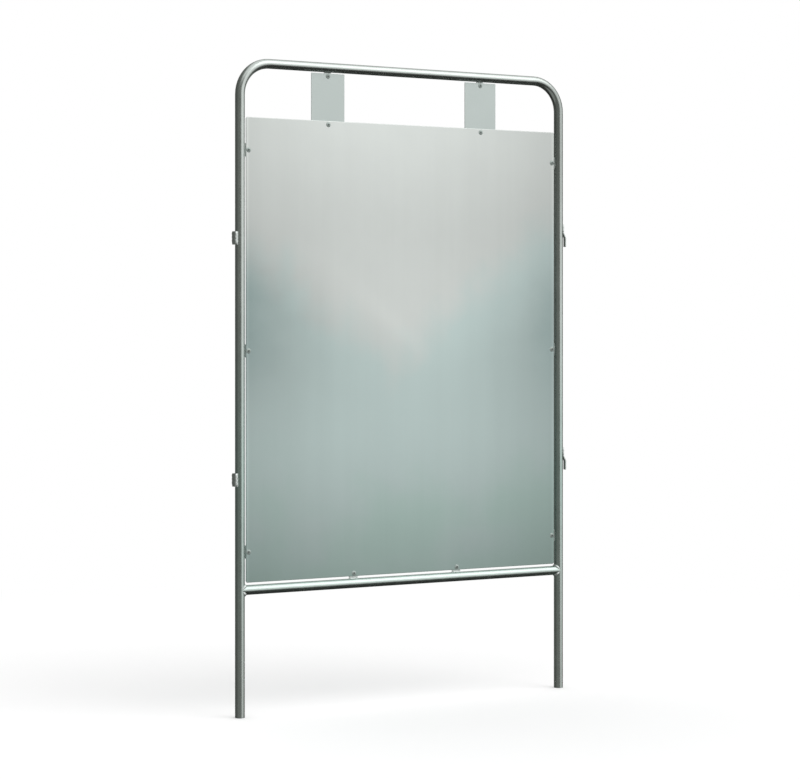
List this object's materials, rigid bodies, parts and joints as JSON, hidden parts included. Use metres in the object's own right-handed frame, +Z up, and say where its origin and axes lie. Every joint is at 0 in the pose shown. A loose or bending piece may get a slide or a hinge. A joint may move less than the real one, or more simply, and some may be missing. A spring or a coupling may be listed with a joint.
{
  "type": "poster board",
  "caption": "Galvanised bent-tube frame holding a hemmed sheet steel poster panel, with hooks and keepers that link boards side by side.",
  "frame": {"origin": "on the ground, midway between the two legs, on the tubes' centre plane", "axes": "+X to the right as seen from the poster side, towards the hooks; -Y out of the poster face; +Z up"},
  "size_m": [1.2205, 0.03, 2],
  "materials": {
    "galvanised_tube": "hot-dip galvanised, satin",
    "panel_zinc": "galvanised sheet, satin",
    "plate_zinc": "galvanised sheet, dull",
    "galvanised_fitting": "hot-dip galvanised, slightly lumpy",
    "rivet_aluminium": "plain blind rivet",
    "mandrel_steel": "broken steel mandrel"
  },
  "bodies": {
    "root": {"frame_tube": "galvanised_tube", "crossbar": "galvanised_tube", "panel_sheet": "panel_zinc", "hanger_plate_left": "plate_zinc", "hanger_plate_right": "plate_zinc", "rail_lug_left": "galvanised_fitting", "rail_lug_right": "galvanised_fitting", "side_lug_left_top": "galvanised_fitting", "side_lug_left_middle": "galvanised_fitting", "side_lug_left_bottom": "galvanised_fitting", "side_lug_right_top": "galvanised_fitting", "side_lug_right_middle": "galvanised_fitting", "side_lug_right_bottom": "galvanised_fitting", "bottom_lug_left": "galvanised_fitting", "bottom_lug_right": "galvanised_fitting", "keeper_upper": "galvanised_fitting", "keeper_lower": "galvanised_fitting", "hook_upper": "galvanised_fitting", "hook_lower": "galvanised_fitting", "side_rivets": "rivet_aluminium", "hanger_rivets": "rivet_aluminium", "panel_top_rivets": "rivet_aluminium", "bottom_rivets": "rivet_aluminium", "side_mandrels": "mandrel_steel", "hanger_mandrels": "mandrel_steel", "panel_top_mandrels": "mandrel_steel", "bottom_mandrels": "mandrel_steel"}
  },
  "joints": []
}
